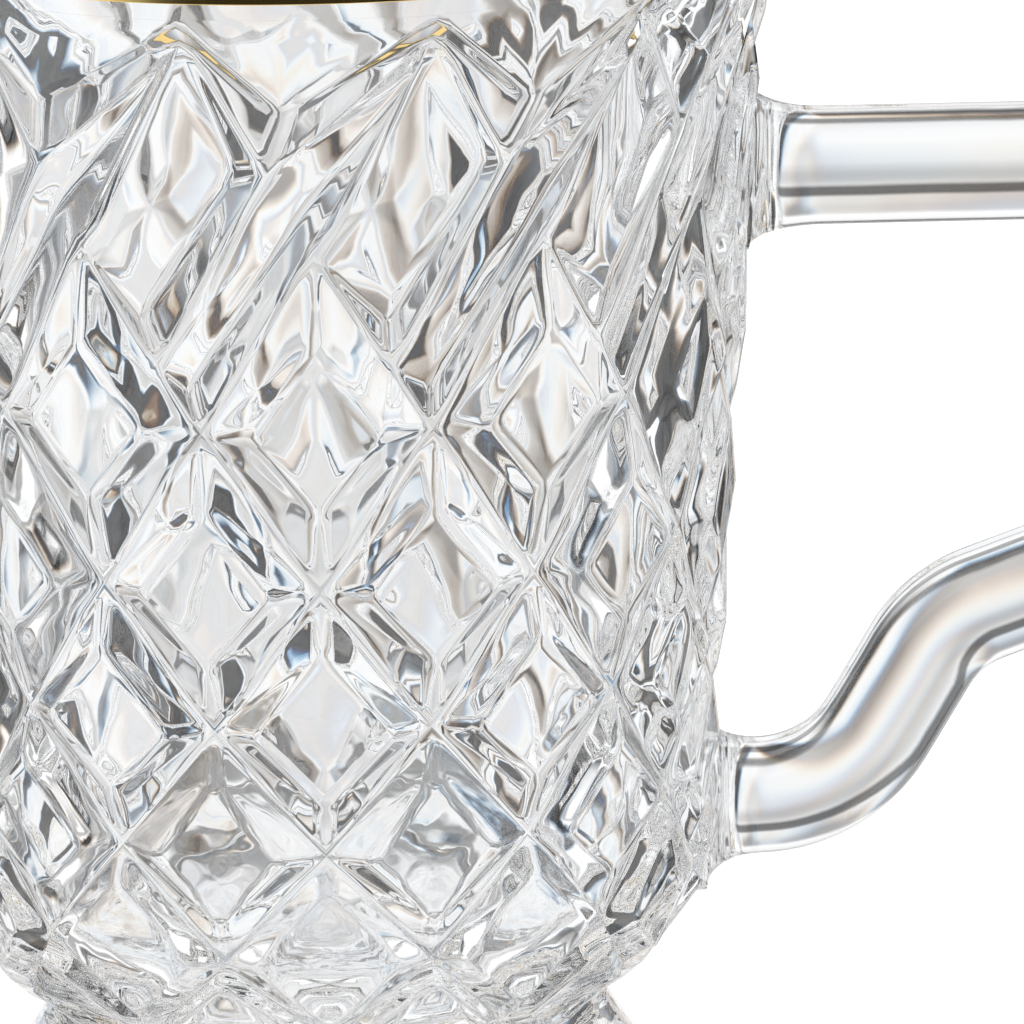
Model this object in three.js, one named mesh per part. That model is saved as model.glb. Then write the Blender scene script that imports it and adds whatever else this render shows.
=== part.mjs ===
// Footed glass mug: a pressed bowl with a cut diamond pattern, a fused foot, an applied handle and a gilded lip.
// Millimetres, +Z up. The mug's axis is Z, its base stands on Z = 0 and the handle points along +X.
import * as THREE from 'three';

// Bowl and foot
const HEIGHT = 112;
const RIM_RADIUS = 42;
const SHOULDER_HEIGHT = 21;
const SHOULDER_RADIUS = 36;
const WAIST_HEIGHT = 9;
const WAIST_RADIUS = 25.5;
const BOTTOM_ROUNDING = 1.6;
const FOOT_RADIUS = 29.5;
const FOOT_EDGE_RADIUS = 1.6;
const FOOT_FLARE = 1.3;

// Walls and inside
const LIP_THICKNESS = 3;
const LIP_DEPTH = 14;
const WALL_THICKNESS = 5;
const FLOOR_THICKNESS = 8;
const FLOOR_FILLET = 9;

// Gilding over the lip
const GOLD_OUTSIDE = 2.8;
const GOLD_INSIDE = 2;
const GOLD_THICKNESS = 0.25;

// Cut pattern: diamonds in rows that grow taller upwards, under a crown of long leaves and plain tongues
const COLUMNS = 12;
const SIDE_STEPS = 6;
const ROW_GROWTH = 1.12;
const FIRST_ROW_RISE = 2.4;
const BOTTOM_ROW_SHARE = 0.4;
const PLAIN_BAND = 5.8;
const BAND_EASE = 1.2;
const GROOVE_DEPTH = 1.5;
const FLAT_SHARE = 0.52;
const LEAF_TIP = 0.2;
const LEAF_RIDGE = 0.3;
const TONGUE_TIP = 0.4;

// Handle
const UPPER_BAR_DROP = 26;
const LOWER_BAR_RISE = 5;
const HANDLE_REACH = 84;
const HANDLE_THICKNESS = 10.4;
const HANDLE_DEPTH = 10.4;
const HANDLE_CORNER = 3.4;
const FOOTING_SPREAD = 2.2;
const FOOTING_LENGTH = 6;
const FOOTING_CORE = 0.5;
const LOWER_LEAD = 4.1;
const CLIMB_RADIUS = 12.8;
const CLIMB_ANGLE = 60;
const CLIMB_LENGTH = 8;
const EASE_RADIUS = 11;
const RAMP_ANGLE = 20;
const GRIP_LENGTH = 5;

// Clearance between fused pieces, and the fineness of round shapes
const FIT_GAP = 0.3;
const STEPS_PER_COLUMN = 4;
const ARC_STEPS = 4;
const BEND_STEP = 15;
const CORNER_STEPS = 3;

const { degToRad, lerp } = THREE.MathUtils;
const PITCH = 360 / COLUMNS;
const AROUND_STEPS = COLUMNS * STEPS_PER_COLUMN;
const STEP_ANGLE = 360 / AROUND_STEPS;
const patternTop = HEIGHT - PLAIN_BAND;
const goldEdge = HEIGHT - GOLD_OUTSIDE;
const goldInsideEdge = HEIGHT - LIP_THICKNESS / 2 - GOLD_INSIDE;
const floorHeight = WAIST_HEIGHT + FLOOR_THICKNESS;

// Outside radius of the bowl's raised surface at a height: a straight flaring side over a rounded bottom.
function outerRadius(z) {
  if (z >= SHOULDER_HEIGHT) {
    return lerp(SHOULDER_RADIUS, RIM_RADIUS, (z - SHOULDER_HEIGHT) / (HEIGHT - SHOULDER_HEIGHT));
  }
  const rise = (z - WAIST_HEIGHT) / (SHOULDER_HEIGHT - WAIST_HEIGHT);
  return lerp(WAIST_RADIUS, SHOULDER_RADIUS, 1 - (1 - rise) ** BOTTOM_ROUNDING);
}

// Inside radius of the bowl: the wall thins towards the lip.
function innerRadius(z) {
  const thinning = THREE.MathUtils.smoothstep(z, HEIGHT - LIP_DEPTH, HEIGHT);
  return outerRadius(z) - lerp(WALL_THICKNESS, LIP_THICKNESS, thinning);
}

// A point at an angle around the axis, counted in degrees from the front (-Y) towards the handle (+X).
function place(around, z, radius) {
  const angle = degToRad(around);
  return new THREE.Vector3(radius * Math.sin(angle), -radius * Math.cos(angle), z);
}

// Points of an arc in a plane, both ends included, angles in degrees.
function arcPoints(centreX, centreY, radius, from, to, steps) {
  const points = [];
  for (let step = 0; step <= steps; step++) {
    const angle = degToRad(lerp(from, to, step / steps));
    points.push([centreX + radius * Math.cos(angle), centreY + radius * Math.sin(angle)]);
  }
  return points;
}

// A closed surface gathered from flat polygons, each listed counter-clockwise as seen from outside.
class Facets {
  constructor() {
    this.positions = [];
  }

  polygon(points) {
    for (let corner = 1; corner + 1 < points.length; corner++) {
      for (const point of [points[0], points[corner], points[corner + 1]]) {
        this.positions.push(point.x, point.y, point.z);
      }
    }
  }

  // Joins two rings with the same number of points.
  strip(lower, upper) {
    lower.forEach((point, index) => {
      const next = (index + 1) % lower.length;
      this.polygon([point, lower[next], upper[next], upper[index]]);
    });
  }

  // Closes a ring with triangles to one point.
  cap(ring, tip) {
    ring.forEach((point, index) => {
      this.polygon([point, ring[(index + 1) % ring.length], tip]);
    });
  }

  geometry() {
    const geometry = new THREE.BufferGeometry();
    geometry.setAttribute('position', new THREE.Float32BufferAttribute(this.positions, 3));
    geometry.computeVertexNormals();
    return geometry;
  }
}

// A ring of points at every step around the axis.
function ringOf(pointAt) {
  return Array.from({ length: AROUND_STEPS }, (_, step) => pointAt(step * STEP_ANGLE));
}

function circle(radius, z) {
  return ringOf((around) => place(around, z, radius));
}

// Outline over the lip, from its outside edge to its inside edge, at a depth under the gilding's surface.
function lipOutline(depth) {
  const radius = LIP_THICKNESS / 2 - depth;
  const centre = RIM_RADIUS - LIP_THICKNESS / 2;
  const crown = arcPoints(centre, HEIGHT - LIP_THICKNESS / 2, radius, 0, 180, ARC_STEPS);
  return [[centre + radius, goldEdge], ...crown, [centre - radius, goldInsideEdge]];
}

// Heights of the pattern's rows of nodes: the waist, one row on the rounded bottom, then the side.
function patternRows() {
  const firstRow = SHOULDER_HEIGHT + FIRST_ROW_RISE;
  const rows = [WAIST_HEIGHT, lerp(WAIST_HEIGHT, firstRow, BOTTOM_ROW_SHARE), firstRow];
  let rise = (patternTop - firstRow) * (ROW_GROWTH - 1) / (ROW_GROWTH ** SIDE_STEPS - 1);
  for (let step = 0; step < SIDE_STEPS; step++) {
    rows.push(rows.at(-1) + rise);
    rise *= ROW_GROWTH;
  }
  return rows;
}

// The bowl's outside is a lattice of grooves. Between them stand flat-topped diamonds, then ridged leaves.
const rows = patternRows();
const crownRow = rows.length - 2;

// Grooves run out to nothing over the rounded bottom.
function groove([around, z]) {
  const share = Math.min(1, (z - WAIST_HEIGHT) / (rows[2] - WAIST_HEIGHT));
  return place(around, z, outerRadius(z) - GROOVE_DEPTH * share);
}

function raised([around, z]) {
  return place(around, z, outerRadius(z));
}

function between(from, to, share) {
  return [lerp(from[0], to[0], share), lerp(from[1], to[1], share)];
}

function midway(from, to) {
  return between(from, to, 0.5);
}

// Cells of odd rows stand between the columns, and those of even rows on them.
function cellCentre(column, row) {
  return (column + (row % 2) / 2) * PITCH;
}

// A diamond's corners from the bottom one, counter-clockwise, around the given angle and row.
function diamondCorners(centre, row) {
  const half = PITCH / 2;
  return [
    [centre, rows[row - 1]],
    [centre + half, rows[row]],
    [centre, rows[row + 1]],
    [centre - half, rows[row]],
  ];
}

// A truncated pyramid with a plane top. Its extra corner is where a leaf's groove starts on its edge.
function addDiamond(facets, centre, row) {
  const corners = diamondCorners(centre, row);
  if (row === crownRow - 1) {
    corners.splice(2, 0, midway(corners[1], corners[2]));
  }
  const middle = [centre, rows[row]];
  const flatness = Math.cos(degToRad(FLAT_SHARE * PITCH / 2));
  const flats = corners.map((corner) => {
    const [around, z] = between(middle, corner, FLAT_SHARE);
    return place(around, z, outerRadius(z) * flatness / Math.cos(degToRad(around - centre)));
  });
  const grooves = corners.map(groove);
  facets.strip(grooves, flats);
  facets.polygon(flats);
}

// A long leaf: its ridge lies close to its lower long edge, so one side is steep and the other shallow.
function addLeaf(facets, [upperLeft, lowerLeft, lowerRight, upperRight]) {
  const ridgePoint = (along) => between(
    between(lowerLeft, lowerRight, along),
    between(upperLeft, upperRight, along),
    LEAF_RIDGE,
  );
  const ridgeLeft = raised(ridgePoint(LEAF_TIP));
  const ridgeRight = raised(ridgePoint(1 - LEAF_TIP));
  const [a, b, c, d] = [upperLeft, lowerLeft, lowerRight, upperRight].map(groove);
  facets.polygon([b, c, ridgeRight, ridgeLeft]);
  facets.polygon([c, d, ridgeRight]);
  facets.polygon([d, a, ridgeLeft, ridgeRight]);
  facets.polygon([a, b, ridgeLeft]);
}

// Each diamond of the crown row is split into two leaves by a rising groove.
function addLeafPair(facets, centre) {
  const [bottom, right, top, left] = diamondCorners(centre, crownRow);
  const start = midway(bottom, left);
  const end = midway(right, top);
  addLeaf(facets, [left, start, end, top]);
  addLeaf(facets, [start, bottom, right, end]);
}

// The plain band reaches down between the leaves' tips as pointed tongues.
function addTongue(facets, centre) {
  const half = PITCH / 2;
  const foot = [centre, rows[crownRow]];
  const rightTip = [centre + half, patternTop];
  const leftTip = [centre - half, patternTop];
  const leftMiddle = midway(foot, leftTip);
  const tongue = [centre, lerp(rows[crownRow], patternTop, TONGUE_TIP)];
  const edge = [];
  for (let around = centre + half - STEP_ANGLE; around > centre - half + STEP_ANGLE / 2; around -= STEP_ANGLE) {
    edge.push([around, patternTop]);
  }
  const right = edge[0];
  const left = edge.at(-1);
  const tongueMiddle = midway(tongue, left);
  facets.polygon([groove(foot), groove(rightTip), raised(right), raised(tongue)]);
  facets.polygon([groove(foot), raised(tongue), raised(tongueMiddle), groove(leftMiddle)]);
  facets.polygon([groove(leftMiddle), raised(tongueMiddle), raised(left), groove(leftTip)]);
  facets.polygon([tongue, ...edge, tongueMiddle].map(raised));
}

// Plain triangles close the pattern at the waist.
function addWaistFacet(facets, centre) {
  const corners = [];
  for (let step = 0; step <= STEPS_PER_COLUMN; step++) {
    corners.push(groove([centre - PITCH / 2 + step * STEP_ANGLE, WAIST_HEIGHT]));
  }
  facets.polygon([groove([centre, rows[1]]), ...corners]);
}

function addPattern(facets) {
  for (let column = 0; column < COLUMNS; column++) {
    addWaistFacet(facets, cellCentre(column, 0));
    for (let row = 1; row < crownRow; row++) {
      addDiamond(facets, cellCentre(column, row), row);
    }
    addLeafPair(facets, cellCentre(column, crownRow));
    addTongue(facets, cellCentre(column, crownRow + 1));
  }
}

// Profile of the bowl above the pattern: plain band, lip under the gilding, inside wall and floor.
function plainProfile() {
  const filletHeight = floorHeight + FLOOR_FILLET;
  const filletCentre = innerRadius(filletHeight) - FLOOR_FILLET;
  const wall = [];
  for (let step = 0; step < ARC_STEPS; step++) {
    const z = lerp(goldInsideEdge, filletHeight, (step / ARC_STEPS) ** 2);
    wall.push([innerRadius(z), z]);
  }
  return [
    [outerRadius(patternTop + BAND_EASE), patternTop + BAND_EASE],
    [outerRadius(goldEdge), goldEdge],
    ...lipOutline(GOLD_THICKNESS + FIT_GAP),
    ...wall,
    ...arcPoints(filletCentre, filletHeight, FLOOR_FILLET, 0, -90, ARC_STEPS),
  ];
}

function bowlGeometry() {
  const facets = new Facets();
  addPattern(facets);
  const tips = cellCentre(0, crownRow);
  let ring = ringOf((around) => {
    const onTip = (around - tips) % PITCH === 0;
    return (onTip ? groove : raised)([around, patternTop]);
  });
  for (const [radius, z] of plainProfile()) {
    const next = circle(radius, z);
    facets.strip(ring, next);
    ring = next;
  }
  facets.cap(ring, new THREE.Vector3(0, 0, floorHeight));
  facets.cap(circle(WAIST_RADIUS, WAIST_HEIGHT).reverse(), new THREE.Vector3(0, 0, WAIST_HEIGHT));
  return facets.geometry();
}

function latheGeometry(profile) {
  const points = profile.map(([radius, z]) => new THREE.Vector2(radius, z));
  return new THREE.LatheGeometry(points, AROUND_STEPS).rotateX(Math.PI / 2);
}

// Flat ground base, rounded edge and a hollow flare up to the waist.
function footGeometry() {
  const top = WAIST_HEIGHT - FIT_GAP;
  const edge = FOOT_RADIUS - FOOT_EDGE_RADIUS;
  const flare = [];
  for (let step = 1; step <= ARC_STEPS; step++) {
    const rise = step / ARC_STEPS;
    const narrowing = 1 - (1 - rise) ** FOOT_FLARE;
    flare.push([lerp(FOOT_RADIUS, WAIST_RADIUS, narrowing), lerp(FOOT_EDGE_RADIUS, top, rise)]);
  }
  return latheGeometry([
    [0, 0],
    ...arcPoints(edge, FOOT_EDGE_RADIUS, FOOT_EDGE_RADIUS, -90, 0, ARC_STEPS),
    ...flare,
    [0, top],
  ]);
}

function goldGeometry() {
  const outside = lipOutline(0);
  return latheGeometry([...outside, ...lipOutline(GOLD_THICKNESS).reverse(), outside[0]]);
}

// The handle's centre line in the XZ plane, run out from the lower footing and back in to the upper one.
class Route {
  constructor(x, z) {
    Object.assign(this, { x, z, heading: 0, points: [{ x, z, heading: 0 }] });
  }

  step(length) {
    this.x += length * Math.cos(degToRad(this.heading));
    this.z += length * Math.sin(degToRad(this.heading));
  }

  mark() {
    this.points.push({ x: this.x, z: this.z, heading: this.heading });
  }

  run(length, steps = 1) {
    for (let step = 0; step < steps; step++) {
      this.step(length / steps);
      this.mark();
    }
  }

  turn(radius, angle) {
    const steps = Math.max(1, Math.round(Math.abs(angle) / BEND_STEP));
    const half = angle / steps / 2;
    for (let step = 0; step < steps; step++) {
      this.heading += half;
      this.step(2 * radius * Math.sin(degToRad(Math.abs(half))));
      this.heading += half;
      this.mark();
    }
  }
}

const upperBar = HEIGHT - UPPER_BAR_DROP;
const lowerBar = SHOULDER_HEIGHT + LOWER_BAR_RISE;

function handleRoute() {
  const route = new Route(outerRadius(lowerBar) + FIT_GAP, lowerBar);
  route.run(FOOTING_LENGTH / 2, ARC_STEPS / 2);
  route.run(LOWER_LEAD - FOOTING_LENGTH / 2);
  route.turn(CLIMB_RADIUS, CLIMB_ANGLE);
  route.run(CLIMB_LENGTH);
  route.turn(EASE_RADIUS, RAMP_ANGLE - CLIMB_ANGLE);
  // Both outer bends share one radius, so that the grip ends at the upper bar and at the full reach.
  const slope = Math.tan(degToRad(RAMP_ANGLE));
  const across = 1 - Math.sin(degToRad(RAMP_ANGLE));
  const up = Math.cos(degToRad(RAMP_ANGLE)) + 1;
  const room = upperBar - GRIP_LENGTH - route.z - slope * (HANDLE_REACH - route.x);
  const bendRadius = room / (up - slope * across);
  route.run((HANDLE_REACH - route.x - bendRadius * across) / Math.cos(degToRad(RAMP_ANGLE)));
  route.turn(bendRadius, 90 - RAMP_ANGLE);
  route.run(GRIP_LENGTH);
  route.turn(bendRadius, 90);
  const upperSeat = outerRadius(upperBar) + FIT_GAP;
  route.run(route.x - upperSeat - FOOTING_LENGTH, 2);
  route.run(FOOTING_LENGTH, ARC_STEPS);
  return route.points;
}

// The bar's section: a rounded rectangle, grown by the spread of a footing.
function barSection(spread, share = 1) {
  const radius = HANDLE_CORNER + spread;
  const across = HANDLE_DEPTH / 2 - HANDLE_CORNER;
  const tall = HANDLE_THICKNESS / 2 - HANDLE_CORNER;
  const section = [];
  for (const [turn, sideAcross, sideTall] of [[0, 1, 1], [90, -1, 1], [180, -1, -1], [270, 1, -1]]) {
    section.push(...arcPoints(sideAcross * across, sideTall * tall, radius, turn, turn + 90, CORNER_STEPS));
  }
  return section.map(([y, rise]) => [y * share, rise * share]);
}

// A point of a footing, set on the bowl's round side.
function seatPoint(y, z) {
  const radius = outerRadius(z) + FIT_GAP;
  return new THREE.Vector3(Math.sqrt(radius ** 2 - y ** 2), y, z);
}

function handleGeometry() {
  const facets = new Facets();
  const route = handleRoute();
  const spreadAt = (distance) => FOOTING_SPREAD * Math.max(0, 1 - distance / FOOTING_LENGTH) ** 2;
  const seatRing = (bar, side, share) => barSection(FOOTING_SPREAD, share).map(([y, rise]) => (
    seatPoint(y, bar + side * rise)
  ));
  const rings = route.slice(1, -1).map(({ x, z, heading }) => {
    const seat = z > (upperBar + lowerBar) / 2 ? upperBar : lowerBar;
    const distance = Math.abs(z - seat) > FIT_GAP ? FOOTING_LENGTH : x - outerRadius(seat) - FIT_GAP;
    const sine = Math.sin(degToRad(heading));
    const cosine = Math.cos(degToRad(heading));
    return barSection(spreadAt(distance)).map(([y, rise]) => (
      new THREE.Vector3(x - rise * sine, y, z + rise * cosine)
    ));
  });
  const all = [
    seatRing(lowerBar, 1, FOOTING_CORE),
    seatRing(lowerBar, 1, 1),
    ...rings,
    seatRing(upperBar, -1, 1),
    seatRing(upperBar, -1, FOOTING_CORE),
  ];
  for (let index = 0; index + 1 < all.length; index++) {
    facets.strip(all[index], all[index + 1]);
  }
  facets.cap([...all[0]].reverse(), seatPoint(0, lowerBar));
  facets.cap(all.at(-1), seatPoint(0, upperBar));
  return facets.geometry();
}

function clearGlass() {
  return new THREE.MeshStandardMaterial({
    color: 0xf2f6f7,
    roughness: 0.03,
    metalness: 0,
    transparent: true,
    opacity: 0.35,
  });
}

function gilding() {
  return new THREE.MeshStandardMaterial({ color: 0xd9a441, roughness: 0.12, metalness: 1 });
}

const mug = new THREE.Group();
const pieces = [
  ['bowl', bowlGeometry(), clearGlass()],
  ['foot', footGeometry(), clearGlass()],
  ['handle', handleGeometry(), clearGlass()],
  ['gold_rim', goldGeometry(), gilding()],
];
for (const [name, geometry, material] of pieces) {
  const piece = new THREE.Mesh(geometry, material);
  piece.name = name;
  mug.add(piece);
}

export default mug;
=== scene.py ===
"""Looks of a footed glass mug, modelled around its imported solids."""
import math

import bmesh
import bpy
from bpy.props import FloatProperty, FloatVectorProperty, IntProperty, PointerProperty
from mathutils import Matrix, Vector


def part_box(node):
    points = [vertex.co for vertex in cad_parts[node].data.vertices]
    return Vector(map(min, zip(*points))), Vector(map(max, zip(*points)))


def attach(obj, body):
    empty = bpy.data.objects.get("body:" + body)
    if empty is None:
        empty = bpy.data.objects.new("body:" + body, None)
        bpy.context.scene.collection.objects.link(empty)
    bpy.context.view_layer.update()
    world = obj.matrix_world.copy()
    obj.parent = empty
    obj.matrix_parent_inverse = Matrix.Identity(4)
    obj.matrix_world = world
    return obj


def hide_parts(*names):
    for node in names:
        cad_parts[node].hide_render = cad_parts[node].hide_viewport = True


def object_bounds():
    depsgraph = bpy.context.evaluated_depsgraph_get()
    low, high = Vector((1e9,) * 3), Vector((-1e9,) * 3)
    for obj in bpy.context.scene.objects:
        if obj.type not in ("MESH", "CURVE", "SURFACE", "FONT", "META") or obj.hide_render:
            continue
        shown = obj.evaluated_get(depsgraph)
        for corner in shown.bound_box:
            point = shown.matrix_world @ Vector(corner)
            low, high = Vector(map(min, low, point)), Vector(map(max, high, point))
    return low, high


bl_info = {
    "name": "Cut-glass mug",
    "version": (1, 0, 0),
    "blender": (4, 5, 0),
    "location": "3D View > Sidebar > Mug",
    "description": "A footed glass mug with a cut diamond pattern, an applied handle and a gilded lip",
    "category": "Add Mesh",
}

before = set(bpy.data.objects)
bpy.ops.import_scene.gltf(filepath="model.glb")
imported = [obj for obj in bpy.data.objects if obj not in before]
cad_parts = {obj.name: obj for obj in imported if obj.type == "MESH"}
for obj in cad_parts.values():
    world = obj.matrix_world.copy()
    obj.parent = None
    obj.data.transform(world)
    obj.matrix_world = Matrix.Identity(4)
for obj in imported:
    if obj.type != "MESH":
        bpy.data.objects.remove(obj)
CAD_LOW, CAD_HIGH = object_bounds()
HEIGHT = CAD_HIGH.z
RIM_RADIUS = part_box("gold_rim")[1].y
WAIST_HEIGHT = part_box("bowl")[0].z
FOOT_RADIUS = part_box("foot")[1].y

MM = 0.001
FULL_TURN = 2 * math.pi
QUARTER_TURN = math.pi / 2
ORIGIN = Vector((0, 0, 0))
UP = Vector((0, 0, 1))
ACROSS = Vector((0, 1, 0))


# Settings

def length(name, description, millimetres):
    return FloatProperty(name=name, description=description, default=millimetres * MM, unit="LENGTH")


def share(name, description, default):
    return FloatProperty(name=name, description=description, default=default, subtype="FACTOR")


def angle(name, description, degrees):
    return FloatProperty(name=name, description=description, default=math.radians(degrees), unit="ROTATION")


def amount(name, description, default):
    return FloatProperty(name=name, description=description, default=default)


def count(name, description, default):
    return IntProperty(name=name, description=description, default=default)


def colour(name, description, default):
    return FloatVectorProperty(name=name, description=description, default=default, subtype="COLOR", size=3)


class BowlSizes(bpy.types.PropertyGroup):
    shoulder_height: length("Shoulder height", "Where the straight side starts", 21)
    shoulder_radius: length("Shoulder radius", "Outside radius at the shoulder", 36)
    waist_radius: length("Waist radius", "Outside radius where the bowl meets the foot", 25.5)
    bottom_rounding: amount("Bottom rounding", "How full the rounded bottom is", 1.6)
    wall: length("Wall", "Thickness of the side", 5)
    lip_thickness: length("Lip thickness", "Thickness of the side at the lip", 3)
    lip_depth: length("Lip depth", "How far the wall thins below the lip", 14)
    floor_thickness: length("Floor thickness", "Glass between the waist and the inside", 8)
    floor_fillet: length("Floor fillet", "Rounding of the inside corner", 9)


class PatternSizes(bpy.types.PropertyGroup):
    columns: count("Columns", "Diamonds around the bowl", 12)
    side_steps: count("Side steps", "Rows of nodes on the side", 6)
    row_growth: amount("Row growth", "Each row's height over that of the row below", 1.12)
    first_row_rise: length("First row rise", "First row of nodes above the shoulder", 2.4)
    bottom_row_share: share("Bottom row share", "Where the row of nodes on the rounded bottom lies", 0.4)
    plain_band: length("Plain band", "Plain glass between the pattern and the lip's top", 5.8)
    band_ease: length("Band ease", "How far the leaf tips run out into the plain band", 2)
    groove_depth: length("Groove depth", "Depth of the cuts between diamonds", 1.5)
    flat_share: share("Flat share", "Size of the highest diamonds' flat tops", 0.52)
    low_flat_share: share("Low flat share", "Size of the lowest diamonds' flat tops", 0.74)
    leaf_tip: share("Leaf tip", "Where a leaf's ridge starts along it", 0.1)
    leaf_ridge: share("Leaf ridge", "Width of a leaf's steep side in the pair", 0.15)
    leaf_split: share("Leaf split", "Share of the narrow leaf in the pair", 0.36)
    tongue_tip: share("Tongue tip", "Where the plain tongue's point lies", 0.4)
    polish_cuts: count("Polish cuts", "Cuts across every facet's edges", 7)
    polish_passes: count("Polish passes", "How often the cut edges are relaxed", 1)
    arc_steps: count("Arc steps", "Steps of a round edge in each column", 4)


class FootSizes(bpy.types.PropertyGroup):
    edge_radius: length("Edge radius", "Rounding of the foot's edge", 1.6)
    flare: amount("Flare", "How hollow the foot's flare is", 1.3)
    sink: length("Sink", "How far the fused foot reaches into the bowl's bottom", 0.2)
    around_steps: count("Steps around", "Steps around the foot", 144)


class HandleSizes(bpy.types.PropertyGroup):
    upper_bar_drop: length("Upper bar drop", "Upper bar's centre below the lip", 26)
    lower_bar_rise: length("Lower bar rise", "Lower bar's centre above the shoulder", 5)
    reach: length("Reach", "Grip's centre line from the axis", 84)
    thickness: length("Thickness", "Height and depth of the bar", 10.4)
    corner: length("Corner", "Rounding of the bar's edges", 4.3)
    footing_spread: length("Footing spread", "How far the fused ends spread", 3.2)
    underside_spread: length("Underside spread", "How far the upper end spreads below", 2)
    footing_length: length("Footing length", "Length of the spread", 6)
    footing_sink: length("Footing sink", "How far the fused ends reach into the bowl's side", 1.7)
    lower_lead: length("Lower lead", "Straight run out of the lower end", 4.4)
    climb_radius: length("Climb radius", "First bend upwards", 12.8)
    climb_angle: angle("Climb angle", "Slope of the climb", 60)
    climb_length: length("Climb length", "Straight climb", 8)
    ease_radius: length("Ease radius", "Bend over to the ramp", 11)
    ramp_angle: angle("Ramp angle", "Slope of the ramp", 20)
    grip_length: length("Grip length", "Upright straight of the grip", 5)
    bend_step: angle("Bend step", "Angle of each step of a bend", 4)
    corner_segments: count("Corner segments", "Steps of each rounded edge", 8)


class GildingSizes(bpy.types.PropertyGroup):
    outside: length("Outside", "Height of the gilding outside", 2.35)
    inside: length("Inside", "Height of the gilding inside, under the lip's rounding", 1.2)
    thickness: length("Thickness", "Thickness of the gilding", 0.25)
    around_steps: count("Steps around", "Steps around the lip", 216)
    arc_steps: count("Arc steps", "Steps over the lip", 10)


class GlassLook(bpy.types.PropertyGroup):
    tint: colour("Tint", "Colour of the glass", (0.99, 0.995, 1.0))
    ior: amount("Index of refraction", "How strongly the glass bends light", 1.5)
    polish: share("Polish", "Roughness of the fire-polished skin", 0.0)
    ripple_scale: amount("Ripple scale", "Ripples of the pressed skin per metre", 150)
    ripple_height: length("Ripple height", "Depth of the outside's ripples", 0.08)
    inside_ripple_height: length("Inside ripple height", "Depth of the inside's ripples", 0.14)
    chill_scale: amount("Chill scale", "Chill marks low on the inside per metre", 240)
    chill_height: length("Chill height", "Depth of the chill marks", 0.22)
    chill_top: length("Chill top", "Where the chill marks fade out", 64)


class GoldLook(bpy.types.PropertyGroup):
    pale: colour("Pale gold", "Colour of the thick gilding", (1.0, 0.76, 0.3))
    deep: colour("Deep gold", "Colour of the thin gilding", (0.83, 0.52, 0.13))
    polish: share("Polish", "Roughness of the burnished gold", 0.12)
    streak_scale: amount("Streak scale", "Thick and thin streaks per metre", 90)
    grain_scale: amount("Grain scale", "Grains of the gilding per metre", 1400)
    grain_height: length("Grain height", "Depth of the grain", 0.02)
    grain_strength: share("Grain strength", "How strongly the grain tilts the surface", 0.15)
    grain_dullness: share("Grain dullness", "Roughness that the grain adds", 0.1)


class StageLook(bpy.types.PropertyGroup):
    floor: colour("Floor", "Colour of the floor", (0.6, 0.6, 0.6))
    floor_glow: amount("Floor glow", "How strongly the floor shines by itself", 1.0)
    room_light: amount("Room light", "Strength of the white room around the mug", 1.09)
    lens: amount("Lens", "Focal length in millimetres", 191.9)
    camera_turn: angle("Camera turn", "How far the camera is walked around the mug", -2.5)
    camera_side: length("Camera to the side", "Camera's place across the view", 18)
    camera_distance: length("Camera distance", "Camera's distance in front of the axis", 481)
    camera_height: length("Camera height", "Camera's height over the floor", 193)
    camera_pitch: angle("Camera pitch", "How far the camera looks down", 16.09)
    camera_roll: angle("Camera roll", "How far the camera leans", -0.73)


class MugSettings(bpy.types.PropertyGroup):
    bowl: PointerProperty(type=BowlSizes)
    pattern: PointerProperty(type=PatternSizes)
    foot: PointerProperty(type=FootSizes)
    handle: PointerProperty(type=HandleSizes)
    gilding: PointerProperty(type=GildingSizes)
    glass: PointerProperty(type=GlassLook)
    gold: PointerProperty(type=GoldLook)
    stage: PointerProperty(type=StageLook)


# Shapes that the pieces share

WELD = 0.004 * MM
CREASE = math.radians(60)


def mix(low, high, part):
    return low + (high - low) * part


def between(start, end, part):
    """A point on the straight way from one point to another."""
    return tuple(mix(a, b, part) for a, b in zip(start, end))


def smooth_step(value, low, high):
    part = min(1, max(0, (value - low) / (high - low)))
    return part * part * (3 - 2 * part)


def outer_radius(mug, z):
    """Radius of the bowl's raised surface: a straight flaring side over a rounded bottom."""
    bowl = mug.bowl
    if z >= bowl.shoulder_height:
        rise = (z - bowl.shoulder_height) / (HEIGHT - bowl.shoulder_height)
        return mix(bowl.shoulder_radius, RIM_RADIUS, rise)
    rise = (z - WAIST_HEIGHT) / (bowl.shoulder_height - WAIST_HEIGHT)
    return mix(bowl.waist_radius, bowl.shoulder_radius, 1 - max(0, 1 - rise) ** bowl.bottom_rounding)


def inner_radius(mug, z):
    """Radius of the inside: the wall thins towards the lip."""
    bowl = mug.bowl
    thinning = smooth_step(z, HEIGHT - bowl.lip_depth, HEIGHT)
    return outer_radius(mug, z) - mix(bowl.wall, bowl.lip_thickness, thinning)


def place(around, z, radius):
    """A point at an angle around the axis, counted from the front towards the handle."""
    return Vector((radius * math.sin(around), -radius * math.cos(around), z))


def arc(centre_x, centre_y, radius, start, end, steps):
    """Points of an arc in a plane, both ends included, angles in degrees."""
    turns = [math.radians(mix(start, end, step / steps)) for step in range(steps + 1)]
    return [(centre_x + radius * math.cos(turn), centre_y + radius * math.sin(turn)) for turn in turns]


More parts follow.
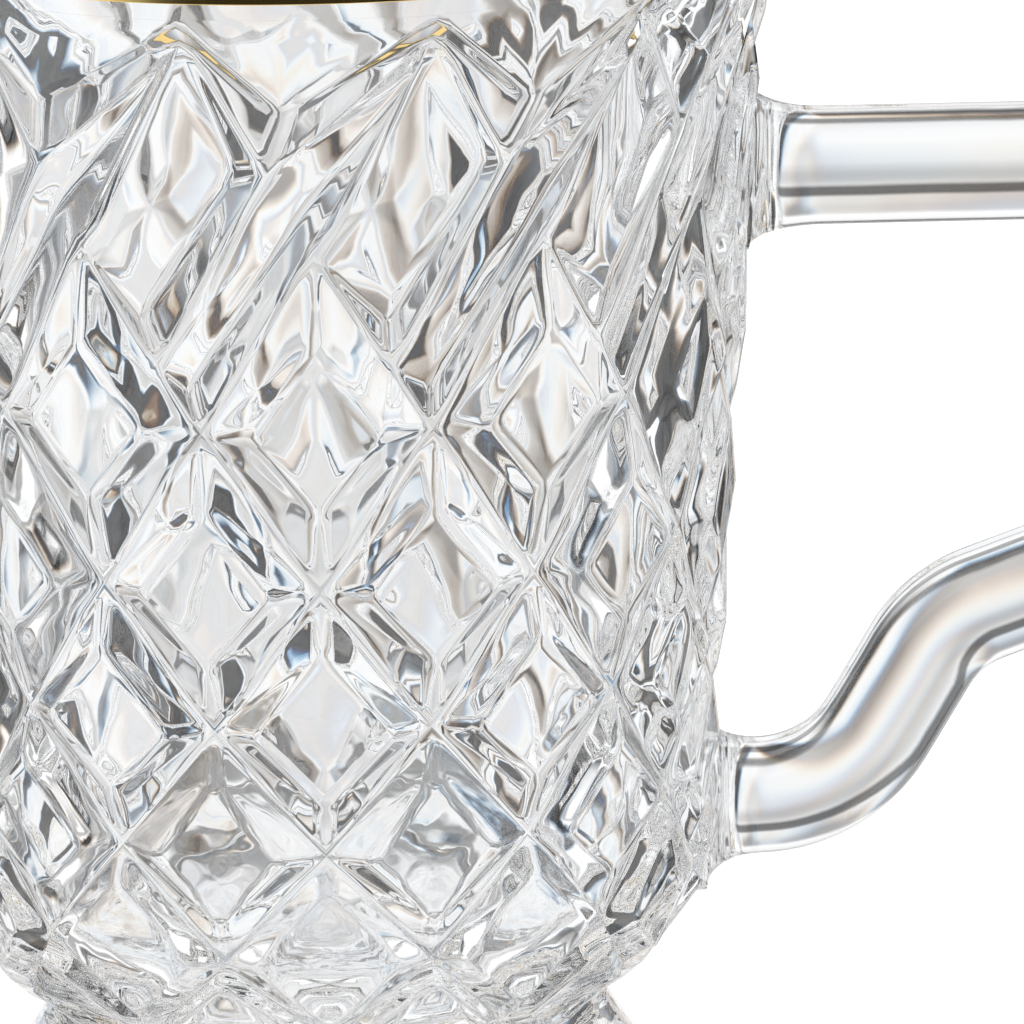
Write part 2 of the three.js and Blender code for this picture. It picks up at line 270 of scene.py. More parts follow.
def lip_outline(mug, depth):
    """Outline over the lip from its outside edge to its inside edge, at a depth under the gilding."""
    lip, gilding = mug.bowl.lip_thickness, mug.gilding
    radius = lip / 2 - depth
    centre = RIM_RADIUS - lip / 2
    top = HEIGHT - lip / 2
    crown = arc(centre, top, radius, 0, 180, gilding.arc_steps)
    outside = (centre + radius, HEIGHT - gilding.outside)
    inside = (centre - radius, top - gilding.inside)
    return [outside, *crown, inside]


def edges_in(geometry):
    return [item for item in geometry if isinstance(item, bmesh.types.BMEdge)]


def verts_of(ring):
    return list({vert for edge in ring for vert in edge.verts})


def extruded(shell, ring):
    """Extrudes a ring of edges on the spot and gives the new ring."""
    return edges_in(bmesh.ops.extrude_edge_only(shell, edges=ring)["geom"])


def ring_to(shell, ring, radius, z):
    """Extrudes a ring of edges to a circle at another radius and height, and gives the new ring."""
    ring = extruded(shell, ring)
    for vert in verts_of(ring):
        flat = vert.co.xy.normalized() * radius
        vert.co = (flat.x, flat.y, z)
    return ring


def open_ring(shell, z, upper):
    """Edges of the open boundary above or below a height."""
    edges = [edge for edge in shell.edges if edge.is_boundary]
    return [edge for edge in edges if (edge.verts[0].co.z > z) == upper]


def lathe(profile, steps):
    """Spins a profile of radius and height pairs about the axis."""
    shell = bmesh.new()
    verts = [shell.verts.new((radius, 0, z)) for radius, z in profile]
    edges = [shell.edges.new(pair) for pair in zip(verts, verts[1:])]
    bmesh.ops.spin(
        shell, geom=verts + edges, axis=UP, cent=ORIGIN, angle=FULL_TURN, steps=steps, use_merge=True
    )
    bmesh.ops.remove_doubles(shell, verts=shell.verts, dist=WELD)
    bmesh.ops.recalc_face_normals(shell, faces=shell.faces)
    return shell


def finish_piece(shell, name, node, material):
    """Turns a bmesh into a piece that stands for a CAD node."""
    mesh = bpy.data.meshes.new(name)
    shell.to_mesh(mesh)
    shell.free()
    mesh.shade_smooth()
    mesh.set_sharp_from_angle(angle=CREASE)
    mesh.materials.append(material)
    piece = bpy.data.objects.new(name, mesh)
    bpy.context.scene.collection.objects.link(piece)
    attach(piece, "root")
    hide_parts(node)


# Bowl

COLUMN_WELD = 0.04 * MM
POLISH = 0.5
GILDING_GAP = 0.05 * MM
WALL_STEPS = 24
FILLET_STEPS = 10


def pattern_rows(mug):
    """Heights of the rows of nodes: the waist, one row on the rounded bottom, then the side."""
    pattern = mug.pattern
    first = mug.bowl.shoulder_height + pattern.first_row_rise
    rows = [WAIST_HEIGHT, mix(WAIST_HEIGHT, first, pattern.bottom_row_share), first]
    growth = pattern.row_growth
    top = HEIGHT - pattern.plain_band
    rise = (top - first) * (growth - 1) / (growth ** pattern.side_steps - 1)
    for _ in range(pattern.side_steps):
        rows.append(rows[-1] + rise)
        rise *= growth
    return rows


class Sheet:
    """One column of the cut pattern, laid flat: x runs around the bowl, y up it, and z is the relief."""

    def __init__(self, mug):
        self.mug = mug
        self.pattern = mug.pattern
        self.rows = pattern_rows(mug)
        self.crown = len(self.rows) - 2
        self.pitch = FULL_TURN / self.pattern.columns
        self.half = self.pitch / 2
        self.girth = mug.bowl.shoulder_radius
        self.mesh = bmesh.new()
        self.flats = []

    def centre(self, row):
        """Cells of odd rows stand between the columns, and those of even rows on them."""
        return (row % 2) * self.half

    def groove(self, node):
        """A point at the bottom of a cut. The cuts run out to nothing at the waist."""
        around, z = node
        fade = min(1, (z - self.rows[0]) / (self.rows[1] - self.rows[0]))
        return Vector((around * self.girth, z, -self.pattern.groove_depth * fade))

    def raised(self, node):
        """A point on the uncut surface."""
        around, z = node
        return Vector((around * self.girth, z, 0))

    def face(self, points):
        face = self.mesh.faces.new([self.mesh.verts.new(point) for point in points])
        face.normal_update()
        return face

    def corners(self, row):
        """A diamond's corners from the bottom one, counter-clockwise."""
        centre = self.centre(row)
        rows = self.rows
        return [
            (centre, rows[row - 1]),
            (centre + self.half, rows[row]),
            (centre, rows[row + 1]),
            (centre - self.half, rows[row]),
        ]

    def diamond(self, row):
        """A truncated pyramid. Below the crown, an extra corner is where a leaf's groove starts."""
        corners = self.corners(row)
        if row == self.crown - 1:
            corners.insert(2, between(corners[1], corners[2], self.pattern.leaf_split))
        cell = self.face([self.groove(corner) for corner in corners])
        wide = self.half * self.girth
        tall = (self.rows[row + 1] - self.rows[row - 1]) / 2
        rise = (row - 1) / (self.crown - 2)
        flat = mix(self.pattern.low_flat_share, self.pattern.flat_share, rise)
        inset = wide * tall / math.hypot(wide, tall) * (1 - flat)
        bmesh.ops.inset_individual(self.mesh, faces=[cell], thickness=inset, use_even_offset=True)
        for vert in cell.verts:
            vert.co.z = 0
        self.flats.append(cell)

    def leaf(self, part, lower, upper):
        """A ridge lies close to the lower long edge, so one side is steep and the other shallow."""
        steep = self.pattern.leaf_ridge / part
        tip = self.pattern.leaf_tip
        line = [between(low, high, steep) for low, high in zip(lower, upper)]
        first = between(line[0], line[1], tip)
        last = between(line[-1], line[-2], tip)
        ridge = [self.raised(node) for node in (first, *line[1:-1], last)]
        low = [self.groove(node) for node in lower]
        high = [self.groove(node) for node in upper]
        for here in range(len(ridge) - 1):
            after = here + 1
            self.face([low[here], low[after], ridge[after], ridge[here]])
            self.face([ridge[here], ridge[after], high[after], high[here]])
        self.face([high[0], low[0], ridge[0]])
        if lower[-1] != upper[-1]:
            self.face([low[-1], high[-1], ridge[-1]])

    def leaf_pair(self):
        """The crown row's diamond, split by a rising groove. The narrow leaf runs on to the next tip."""
        bottom, right, top, left = self.corners(self.crown)
        split = self.pattern.leaf_split
        start = between(bottom, left, split)
        end = between(right, top, split)
        next_top = (top[0] + self.pitch, top[1])
        self.leaf(1 - split, [start, end], [left, top])
        self.leaf(split, [bottom, right, next_top], [start, end, next_top])

    def tongue(self):
        """The plain band's pointed tongue between two tips. It ends on the groove that splits the leaves."""
        centre = self.centre(self.crown + 1)
        low, top = self.rows[self.crown], self.rows[-1]
        right, left = (centre + self.half, top), (centre - self.half, top)
        foot = between((centre, low), left, self.pattern.leaf_split)
        band = top + self.pattern.band_ease
        point = between(foot, (centre, band), self.pattern.tongue_tip)
        steps = self.pattern.arc_steps
        edge = [(centre + self.half - self.pitch * step / steps, band) for step in range(steps + 1)]
        self.face([self.groove(foot), self.groove(right), self.raised(edge[0]), self.raised(point)])
        self.face([self.groove(foot), self.raised(point), self.raised(edge[-1]), self.groove(left)])
        for here, after in zip(edge, edge[1:]):
            self.face([self.raised(point), self.raised(here), self.raised(after)])

    def waist(self):
        """Plain triangles that close the pattern at the waist."""
        centre = self.centre(0)
        steps = self.pattern.arc_steps // 2
        edge = [(centre - self.half + self.pitch * step / steps, self.rows[0]) for step in range(steps + 1)]
        node = self.groove((centre, self.rows[1]))
        for here, after in zip(edge, edge[1:]):
            self.face([node, self.groove(here), self.groove(after)])

    def wrap(self):
        """Bends the sheet around the bowl and planes the diamonds' tops."""
        for vert in self.mesh.verts:
            around, z, relief = vert.co.x / self.girth, vert.co.y, vert.co.z
            vert.co = place(around, z, outer_radius(self.mug, z) + relief)
        self.mesh.normal_update()
        bmesh.ops.planar_faces(self.mesh, faces=self.flats, iterations=1, factor=1)


def cut_pattern(mug):
    """The bowl's outside: one column, repeated around, with its edges rounded."""
    sheet = Sheet(mug)
    sheet.waist()
    for row in range(1, sheet.crown):
        sheet.diamond(row)
    sheet.leaf_pair()
    sheet.tongue()
    sheet.wrap()
    shell = sheet.mesh
    copies = mug.pattern.columns - 1
    whole = [*shell.verts, *shell.edges, *shell.faces]
    bmesh.ops.spin(
        shell, geom=whole, axis=UP, cent=ORIGIN, angle=copies * sheet.pitch, steps=copies, use_duplicate=True
    )
    bmesh.ops.remove_doubles(shell, verts=shell.verts, dist=COLUMN_WELD)
    bmesh.ops.recalc_face_normals(shell, faces=shell.faces)
    fire_polish(shell, mug.pattern)
    return shell


def fire_polish(shell, pattern):
    """Divides every facet finely and relaxes the mesh, which rounds its edges and leaves its middles flat."""
    bmesh.ops.triangulate(shell, faces=shell.faces)
    bmesh.ops.subdivide_edges(shell, edges=shell.edges, cuts=pattern.polish_cuts, use_grid_fill=True)
    free = [vert for vert in shell.verts if not vert.is_boundary]
    for _ in range(pattern.polish_passes):
        bmesh.ops.smooth_vert(
            shell, verts=free, factor=POLISH, use_axis_x=True, use_axis_y=True, use_axis_z=True
        )


def inside_profile(mug):
    """Over the lip under its gilding, down the inside and around the floor's corner."""
    bowl = mug.bowl
    fillet = WAIST_HEIGHT + bowl.floor_thickness + bowl.floor_fillet
    fillet_centre = inner_radius(mug, fillet) - bowl.floor_fillet
    lip = lip_outline(mug, mug.gilding.thickness + GILDING_GAP)
    lip_end = lip[-1][1]
    heights = [mix(lip_end, fillet, step / WALL_STEPS) for step in range(1, WALL_STEPS)]
    wall = [(inner_radius(mug, z), z) for z in heights]
    corner = arc(fillet_centre, fillet, bowl.floor_fillet, 0, -90, FILLET_STEPS)
    return [*lip, *wall, *corner]


def bowl_shell(mug):
    """The cut outside, closed over the lip, the inside and the floor, and across the waist."""
    shell = cut_pattern(mug)
    middle = HEIGHT / 2
    ring = open_ring(shell, middle, upper=True)
    for vert in verts_of(ring):
        around = math.atan2(vert.co.x, -vert.co.y)
        vert.co = place(around, vert.co.z, outer_radius(mug, vert.co.z))
    gilding_edge = HEIGHT - mug.gilding.outside
    ring = ring_to(shell, ring, outer_radius(mug, gilding_edge), gilding_edge)
    for radius, z in inside_profile(mug):
        ring = ring_to(shell, ring, radius, z)
    bmesh.ops.contextual_create(shell, geom=ring)
    bmesh.ops.contextual_create(shell, geom=open_ring(shell, middle, upper=False))
    bmesh.ops.recalc_face_normals(shell, faces=shell.faces)
    return shell


class MUG_OT_bowl(bpy.types.Operator):
    """Cut the bowl's pattern, turn its lip and inside, and give it clear glass"""

    bl_idname = "mug.bowl"
    bl_label = "Bowl"

    def execute(self, context):
        mug = context.scene.mug
        finish_piece(bowl_shell(mug), "cut_bowl", "bowl", clear_glass(mug))
        return {"FINISHED"}


# Foot

FOOT_EDGE_STEPS = 8
FLARE_STEPS = 16


def foot_shell(mug):
    """A flat base, a rounded edge and a hollow flare that reaches into the bowl's bottom."""
    foot, waist = mug.foot, mug.bowl.waist_radius
    top = WAIST_HEIGHT + foot.sink
    edge = arc(FOOT_RADIUS - foot.edge_radius, foot.edge_radius, foot.edge_radius, -90, 0, FOOT_EDGE_STEPS)
    flare = []
    for step in range(1, FLARE_STEPS + 1):
        rise = step / FLARE_STEPS
        narrowing = 1 - (1 - rise) ** foot.flare
        flare.append((mix(FOOT_RADIUS, waist, narrowing), mix(foot.edge_radius, top, rise)))
    return lathe([(0, 0), *edge, *flare, (0, top)], foot.around_steps)


class MUG_OT_foot(bpy.types.Operator):
    """Turn the fused foot and give it clear glass"""

    bl_idname = "mug.foot"
    bl_label = "Foot"

    def execute(self, context):
        mug = context.scene.mug
        finish_piece(foot_shell(mug), "flared_foot", "foot", clear_glass(mug))
        return {"FINISHED"}


# Handle

ROUND_PROFILE = 0.5
FOOTING_STEPS = 10
SEAT_SHARES = (1, 0.75, 0.5, 0.25)


class Bar:
    """A bar of rounded section, pulled out step by step from a loop of edges in the XZ plane."""

    def __init__(self, mug, x, z):
        handle = mug.handle
        self.mug = mug
        self.mesh = bmesh.new()
        self.centre = Vector((x, 0, z))
        self.heading = 0.0
        upright = Matrix.Translation(self.centre) @ Matrix.Rotation(QUARTER_TURN, 4, "Y")
        bmesh.ops.create_grid(
            self.mesh, x_segments=1, y_segments=1, size=handle.thickness / 2, matrix=upright
        )
        bmesh.ops.bevel(
            self.mesh,
            geom=self.mesh.verts[:],
            affect="VERTICES",
            offset=handle.corner,
            segments=handle.corner_segments,
            profile=ROUND_PROFILE,
            material=-1,
        )
        bmesh.ops.delete(self.mesh, geom=self.mesh.faces[:], context="FACES_ONLY")
        self.ring = self.mesh.edges[:]

    def forward(self):
        return Vector((math.cos(self.heading), 0, math.sin(self.heading)))

    def upward(self):
        return Vector((-math.sin(self.heading), 0, math.cos(self.heading)))

    def run(self, distance):
        """Pulls the bar straight on."""
        step = self.forward() * distance
        self.ring = extruded(self.mesh, self.ring)
        bmesh.ops.translate(self.mesh, verts=verts_of(self.ring), vec=step)
        self.centre += step

    def turn(self, radius, turned):
        """Bends the bar upwards, or downwards by a negative angle."""
        arm = math.copysign(radius, turned)
        pivot = self.centre + self.upward() * arm
        steps = max(1, round(abs(turned) / self.mug.handle.bend_step))
        swept = bmesh.ops.spin(
            self.mesh, geom=self.ring, cent=pivot, axis=-ACROSS, angle=turned, steps=steps
        )
        self.ring = edges_in(swept["geom_last"])
        self.heading += turned
        self.centre = pivot - self.upward() * arm


def footing(bar, ring, centre_z, run, spread_above, spread_below):
    """Runs a ring of the section to the bowl's side, spreading it as hot glass does where it is stuck on."""
    half = bar.mug.handle.thickness / 2
    bar.ring, bar.heading = ring, math.pi
    turns = [QUARTER_TURN * step / FOOTING_STEPS for step in range(FOOTING_STEPS + 1)]
    for before, after in zip(turns, turns[1:]):
        bar.run(run * (math.sin(after) - math.sin(before)))
        low, high = 1 - math.cos(before), 1 - math.cos(after)
        depth = (half + spread_above * high) / (half + spread_above * low)
        for vert in verts_of(bar.ring):
            spread = spread_above if vert.co.z > centre_z else spread_below
            height = (half + spread * high) / (half + spread * low)
            vert.co.z = centre_z + (vert.co.z - centre_z) * height
            vert.co.y *= depth
    seat(bar, extruded(bar.mesh, bar.ring), centre_z)


def seat(bar, ring, centre_z):
    """Sets a ring under the bowl's round side and closes it with rings parallel to that side."""
    for outer, part in zip((1, *SEAT_SHARES), SEAT_SHARES):
        shrink = part / outer
        if shrink < 1:
            ring = extruded(bar.mesh, ring)
        for vert in verts_of(ring):
            vert.co.y *= shrink
            vert.co.z = centre_z + (vert.co.z - centre_z) * shrink
            radius = outer_radius(bar.mug, vert.co.z) - bar.mug.handle.footing_sink
            vert.co.x = math.sqrt(radius ** 2 - vert.co.y ** 2)
    bmesh.ops.contextual_create(bar.mesh, geom=ring)


def handle_shell(mug):
    """Climbs from the lower end over the ramp to the grip, turns back in, and seats both ends."""
    handle = mug.handle
    upper = HEIGHT - handle.upper_bar_drop
    lower = mug.bowl.shoulder_height + handle.lower_bar_rise
    bar = Bar(mug, outer_radius(mug, lower) + handle.lower_lead, lower)
    start = bar.ring
    bar.turn(handle.climb_radius, handle.climb_angle)
    bar.run(handle.climb_length)
    bar.turn(handle.ease_radius, handle.ramp_angle - handle.climb_angle)
    # Both outer bends share one radius, so that the grip ends at the upper bar and at the full reach.
    slope = math.tan(handle.ramp_angle)
    across = 1 - math.sin(handle.ramp_angle)
    up = math.cos(handle.ramp_angle) + 1
    room = upper - handle.grip_length - bar.centre.z - slope * (handle.reach - bar.centre.x)
    bend = room / (up - slope * across)
    bar.run((handle.reach - bar.centre.x - bend * across) / math.cos(handle.ramp_angle))
    bar.turn(bend, QUARTER_TURN - handle.ramp_angle)
    bar.run(handle.grip_length)
    bar.turn(bend, QUARTER_TURN)
    bar.run(bar.centre.x - outer_radius(mug, upper) - handle.footing_length)
    spread = handle.footing_spread
    buried = handle.footing_sink / 2
    footing(bar, bar.ring, upper, handle.footing_length + buried, spread, handle.underside_spread)
    footing(bar, start, lower, handle.lower_lead + buried, spread, spread)
    bmesh.ops.recalc_face_normals(bar.mesh, faces=bar.mesh.faces)
    return bar.mesh


class MUG_OT_handle(bpy.types.Operator):
    """Pull the handle's bar along its bends and fuse both ends to the bowl"""

    bl_idname = "mug.handle"
    bl_label = "Handle"

    def execute(self, context):
        mug = context.scene.mug
        finish_piece(handle_shell(mug), "bent_handle", "handle", clear_glass(mug))
        return {"FINISHED"}


# Gilding

def gilding_shell(mug):
    """A thin skin over the lip."""
    outside = lip_outline(mug, 0)
    inside = lip_outline(mug, mug.gilding.thickness)
    return lathe([*outside, *reversed(inside), outside[0]], mug.gilding.around_steps)


class MUG_OT_gilding(bpy.types.Operator):
    """Lay the gilding over the lip"""

    bl_idname = "mug.gilding"
    bl_label = "Gilding"

    def execute(self, context):
        mug = context.scene.mug
        finish_piece(gilding_shell(mug), "gilded_lip", "gold_rim", burnished_gold(mug))
        return {"FINISHED"}


# Finishes

SOFT_NOISE = {"Detail": 1.0, "Roughness": 0.4}
STREAK_DETAIL = 3.0
GRAIN_DETAIL = 2.0
WALL_SPLIT = 0.6
# The Mix node's sockets for colours share their names with others, so they are found by place.
MIX_FIRST = 6
MIX_SECOND = 7
MIX_RESULT = 2


class Value:
    """A shader socket that Python's operators work on, by adding Math nodes."""

    def __init__(self, finish, socket):
        self.finish = finish
        self.socket = socket

    def math(self, operation, *values):
        return self.finish.node("ShaderNodeMath", {"operation": operation}, dict(enumerate(values)))

    def __add__(self, other):
        return self.math("ADD", self, other)

    __radd__ = __add__

    def __sub__(self, other):
        return self.math("SUBTRACT", self, other)

    def __rsub__(self, other):
        return self.math("SUBTRACT", other, self)

    def __mul__(self, other):
        return self.math("MULTIPLY", self, other)

    __rmul__ = __mul__

    def __abs__(self):
        return self.math("ABSOLUTE", self)

    def __lt__(self, other):
        return self.math("LESS_THAN", self, other)

    def root(self):
        return self.math("SQRT", self)


class Finish:
    """A material's nodes."""

    def __init__(self, name):
        self.material = bpy.data.materials.new(name)
        self.material.use_nodes = True
        self.tree = self.material.node_tree
        self.tree.nodes.clear()

    def node(self, kind, settings=None, inputs=None, output=0):
        """Adds a node, makes its settings, feeds its sockets and gives one of its outputs."""
        node = self.tree.nodes.new(kind)
        for key, value in (settings or {}).items():
            setattr(node, key, value)
        for key, value in (inputs or {}).items():
            if isinstance(value, Value):
                self.tree.links.new(value.socket, node.inputs[key])
            else:
                node.inputs[key].default_value = value
        return Value(self, node.outputs[output]) if node.outputs else None

    def here(self):
        return self.node("ShaderNodeTexCoord", output="Object")

    def axes(self, vector):
        """The X, Y and Z of a vector."""
        node = self.tree.nodes.new("ShaderNodeSeparateXYZ")
        self.tree.links.new(vector.socket, node.inputs["Vector"])
        return [Value(self, socket) for socket in node.outputs]

    def noise(self, vector, scale, **inputs):
        return self.node("ShaderNodeTexNoise", inputs={"Vector": vector, "Scale": scale, **inputs})

    def ease(self, value, start, end, low, high):
        """Goes smoothly from one number to another while a value goes from start to end."""
        return self.node(
            "ShaderNodeMapRange",
            {"interpolation_type": "SMOOTHSTEP"},
            {"Value": value, "From Min": start, "From Max": end, "To Min": low, "To Max": high},
        )

    def surface(self, **sockets):
        """Ends the tree in a Principled shader with these sockets, named with _ for a space."""
        inputs = {key.replace("_", " "): value for key, value in sockets.items()}
        return self.end(self.node("ShaderNodeBsdfPrincipled", inputs=inputs))

    def end(self, shader):
        self.node("ShaderNodeOutputMaterial", inputs={"Surface": shader})
        return self.material


def clear_glass(mug):
    """Clear pressed glass under a fire-polished skin, made once for the bowl, the foot and the handle."""
    known = bpy.data.materials.get("pressed_glass")
    if known:
        return known
    look, bowl = mug.glass, mug.bowl
    finish = Finish("pressed_glass")
    here = finish.here()
    x, y, z = finish.axes(here)
    # The plunger that presses the inside leaves more ripples than the cut outside keeps.
    slope = (RIM_RADIUS - bowl.shoulder_radius) / (HEIGHT - bowl.shoulder_height)
    middle_of_wall = bowl.shoulder_radius - bowl.wall * WALL_SPLIT + (z - bowl.shoulder_height) * slope
    inside = (x * x + y * y).root() < middle_of_wall
    ripples = finish.noise(here, look.ripple_scale, **SOFT_NOISE)
    depth = look.ripple_height + inside * (look.inside_ripple_height - look.ripple_height)
    # Finer chill marks gather low on the inside, where the hot glass first meets the plunger.
    chill = finish.noise(here, look.chill_scale, **SOFT_NOISE)
    low = finish.ease(z, WAIST_HEIGHT, look.chill_top, 1.0, 0.0)
    height = ripples * depth + chill * low * inside * look.chill_height
    bump = finish.node("ShaderNodeBump", inputs={"Height": height, "Strength": 1.0, "Distance": 1.0})
    return finish.surface(
        Base_Color=(*look.tint, 1),
        Roughness=look.polish,
        IOR=look.ior,
        Transmission_Weight=1.0,
        Normal=bump,
    )


def burnished_gold(mug):
    """Burnished gilding, brushed on around the lip: thicker and thinner streaks of one gold."""
    look = mug.gold
    finish = Finish("burnished_gold")
    here = finish.here()
    streaks = finish.noise(here, look.streak_scale, Detail=STREAK_DETAIL)
    grain = finish.noise(here, look.grain_scale, Detail=GRAIN_DETAIL)
    tone = finish.node(
        "ShaderNodeMix",
        {"data_type": "RGBA"},
        {"Factor": streaks, MIX_FIRST: (*look.deep, 1), MIX_SECOND: (*look.pale, 1)},
        output=MIX_RESULT,
    )
    bump = finish.node(
        "ShaderNodeBump",
        inputs={"Height": grain, "Strength": look.grain_strength, "Distance": look.grain_height},
    )
    return finish.surface(
        Base_Color=tone,
        Metallic=1.0,
        Roughness=look.polish + grain * look.grain_dullness,
        Normal=bump,
    )


# Stage

FLOOR_DROP = 0.2 * MM
FLOOR_REACH = 3
FLOOR_ROUGHNESS = 0.7
SENSOR_WIDTH = 36
NEAREST = 0.01
LIGHT_BOUNCES = 32

# Grey cards that stand for the darker parts of the studio. Each row holds its azimuth, elevation, width
# and height in degrees, its density, and the softness of its edges as a share of the card.
FLAGS = {
    "left_flag": (-27, -25, 22, 50, 0.98, 0.25),
    "far_left_flag": (-56, 0, 36, 90, 0.9, 0.25),
    "right_flag": (26, -6, 15, 44, 0.98, 0.25),
    "far_right_flag": (56, -10, 36, 90, 0.9, 0.25),
    "back_flag": (0, 3.5, 140, 12, 0.82, 0.3),
    "back_haze_flag": (0, -6, 140, 16, 0.3, 0.45),
    "low_back_flag": (0, -48, 140, 15, 0.7, 0.35),
    "upper_flag": (0, 57, 140, 46, 0.95, 0.15),
    "low_flag": (0, -66, 140, 14, 0.6, 0.25),
    "low_left_flag": (-24, -60, 20, 40, 0.8, 0.25),
    "low_right_flag": (24, -60, 20, 40, 0.8, 0.25),
}
MOTTLED_FLAG = (0, -14, 130, 90, 0.7, 0.1)
FRONT_FLAG = (180, 0, 105, 110, 0.97, 0.25)
FLAG_DISTANCE = 2
FLAG_FRINGE = 0.5
FLAG_HALF = 0.5
FLAG_EDGE = 0.47
CLOUD_SCALE = 8.0
CLOUD_DETAIL = 2.0
CLOUD_START = 3.37
CLOUD_STRETCH = 0.15
CLOUD_CLEAR = 0.4
CLOUD_FULL = 0.7
CLOUD_LEAST = 0.15


def pale_floor(stage):
    """A floor that the glass and the gold don't show, so that they show the studio's cards."""
    sheet = bmesh.new()
    under = Matrix.Translation((0, 0, -FLOOR_DROP))
    bmesh.ops.create_grid(sheet, x_segments=1, y_segments=1, size=FLOOR_REACH, matrix=under)
    tone = (*stage.floor, 1)
    material = Finish("pale_floor").surface(
        Base_Color=tone, Roughness=FLOOR_ROUGHNESS, Emission_Color=tone, Emission_Strength=stage.floor_glow
    )
    floor = stage_sheet(sheet, "floor", material)
    floor.visible_transmission = False
    floor.visible_glossy = False


def stage_sheet(sheet, name, material):
    """Turns a bmesh into a part of the stage."""
    mesh = bpy.data.meshes.new(name)
    sheet.to_mesh(mesh)
    sheet.free()
    mesh.materials.append(material)
    panel = bpy.data.objects.new(name, mesh)
    bpy.context.scene.collection.objects.link(panel)
    return panel


def flag(name, azimuth, elevation, width, height, density, softness, mottled=False):
    """A far grey gel that only the glass and the gold see, at angles around the mug and over its horizon."""
    sheet = bmesh.new()
    bmesh.ops.create_grid(sheet, x_segments=1, y_segments=1, size=FLAG_HALF)
    gel = grey_gel(name, density, softness, FLAG_FRINGE / width, mottled)
    panel = stage_sheet(sheet, name, gel)
    around, over = math.radians(azimuth), math.radians(elevation)
    away = Vector((math.sin(around) * math.cos(over), math.cos(around) * math.cos(over), math.sin(over)))
    panel.location = away * FLAG_DISTANCE
    panel.rotation_euler = away.to_track_quat("Z", "Y").to_euler()
    wide, tall = (2 * FLAG_DISTANCE * math.tan(math.radians(size / 2)) for size in (width, height))
    panel.scale = (wide, tall, 1)
    for ray in ("camera", "diffuse", "shadow", "volume_scatter"):
        setattr(panel, f"visible_{ray}", False)
    return panel


def grey_gel(name, density, softness, fringe, mottled):
    """A filter with soft edges. Its colours end a little apart, as a prism spreads them."""
    finish = Finish(name)
    x, y, _ = finish.axes(finish.here())
    tall = edge_fade(y, softness) * density
    passed = {}
    for channel, shift in (("Red", fringe), ("Green", 0.0), ("Blue", -fringe)):
        across = x + shift
        shade = tall * edge_fade(across, softness)
        passed[channel] = 1 - (shade * clouds(across, y) if mottled else shade)
    tone = finish.node("ShaderNodeCombineColor", inputs=passed)
    return finish.end(finish.node("ShaderNodeBsdfTransparent", inputs={"Color": tone}))


def edge_fade(across, softness):
    """One in the middle of a card, and zero at its edges."""
    return across.finish.ease(abs(across), FLAG_EDGE - softness, FLAG_EDGE, 1.0, 0.0)


def clouds(x, y):
    """Soft upright blotches, as of things standing around in a pale room."""
    finish = x.finish
    spot = finish.node("ShaderNodeCombineXYZ", inputs={"X": x + CLOUD_START, "Y": y * CLOUD_STRETCH})
    noise = finish.node(
        "ShaderNodeTexNoise",
        {"noise_dimensions": "2D"},
        {"Vector": spot, "Scale": CLOUD_SCALE, "Detail": CLOUD_DETAIL},
    )
    return finish.ease(noise, CLOUD_CLEAR, CLOUD_FULL, CLOUD_LEAST, 1.0)


def white_room(scene, stage):
    """An even white room around the mug, with the cards in it."""
    scene.world = bpy.data.worlds.new("studio")
    scene.world.use_nodes = True
    light = scene.world.node_tree.nodes["Background"].inputs
    light["Color"].default_value = (1, 1, 1, 1)
    light["Strength"].default_value = stage.room_light
    for name, card in FLAGS.items():
        flag(name, *card)
    flag("mottled_flag", *MOTTLED_FLAG, mottled=True)
    # The front card shows in reflections only, so that the glass stays clear from behind.
    flag("front_flag", *FRONT_FLAG).visible_transmission = False


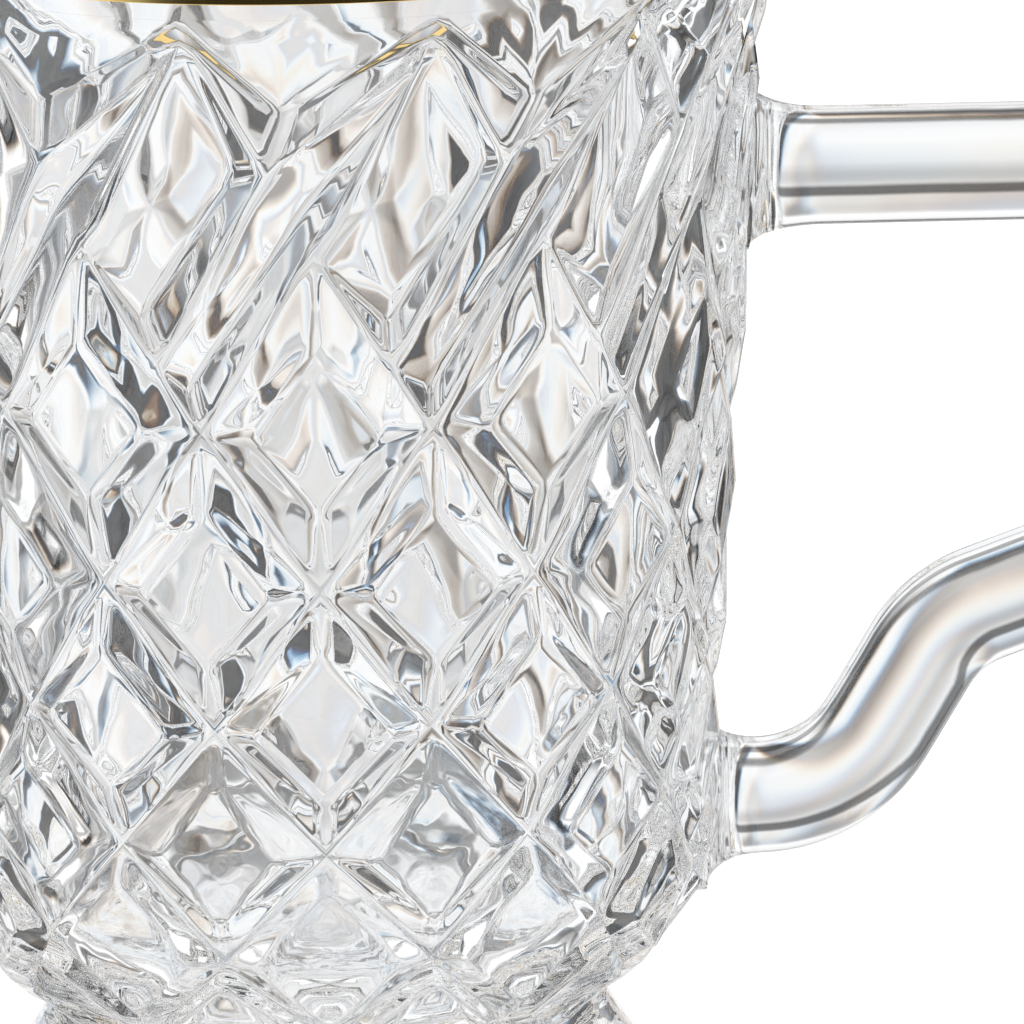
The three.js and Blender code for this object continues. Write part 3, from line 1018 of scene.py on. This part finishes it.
def set_camera(scene, stage):
    camera = bpy.data.objects.new("camera", bpy.data.cameras.new("camera"))
    camera.data.lens = stage.lens
    camera.data.sensor_width = SENSOR_WIDTH
    camera.data.clip_start = NEAREST
    spot = Matrix.Translation((stage.camera_side, -stage.camera_distance, stage.camera_height))
    tilt = Matrix.Rotation(QUARTER_TURN - stage.camera_pitch, 4, "X")
    walk = Matrix.Rotation(stage.camera_turn, 4, "Z")
    camera.matrix_world = walk @ spot @ tilt @ Matrix.Rotation(stage.camera_roll, 4, "Z")
    scene.collection.objects.link(camera)
    scene.camera = camera


class MUG_OT_stage(bpy.types.Operator):
    """Set the pale floor, the soft light and the camera"""

    bl_idname = "mug.stage"
    bl_label = "Stage"

    def execute(self, context):
        scene = context.scene
        stage = scene.mug.stage
        pale_floor(stage)
        white_room(scene, stage)
        set_camera(scene, stage)
        scene.view_settings.view_transform = "Standard"
        scene.cycles.max_bounces = LIGHT_BOUNCES
        scene.cycles.transmission_bounces = LIGHT_BOUNCES
        scene.cycles.glossy_bounces = LIGHT_BOUNCES
        return {"FINISHED"}


# Add-on

OPERATORS = (MUG_OT_bowl, MUG_OT_foot, MUG_OT_handle, MUG_OT_gilding, MUG_OT_stage)


class MUG_PT_panel(bpy.types.Panel):
    """The mug's pieces and its stage"""

    bl_idname = "MUG_PT_panel"
    bl_label = "Glass mug"
    bl_space_type = "VIEW_3D"
    bl_region_type = "UI"
    bl_category = "Mug"

    def draw(self, context):
        for operator in OPERATORS:
            self.layout.operator(operator.bl_idname)


SIZES = (BowlSizes, PatternSizes, FootSizes, HandleSizes, GildingSizes)
LOOKS = (GlassLook, GoldLook, StageLook)
CLASSES = (*SIZES, *LOOKS, MugSettings, *OPERATORS, MUG_PT_panel)


def register():
    for cls in CLASSES:
        bpy.utils.register_class(cls)
    bpy.types.Scene.mug = PointerProperty(type=MugSettings)


def unregister():
    del bpy.types.Scene.mug
    for cls in reversed(CLASSES):
        bpy.utils.unregister_class(cls)


def main():
    register()
    bpy.ops.mug.bowl()
    bpy.ops.mug.foot()
    bpy.ops.mug.handle()
    bpy.ops.mug.gilding()
    bpy.ops.mug.stage()


if __name__ == "__main__":
    main()
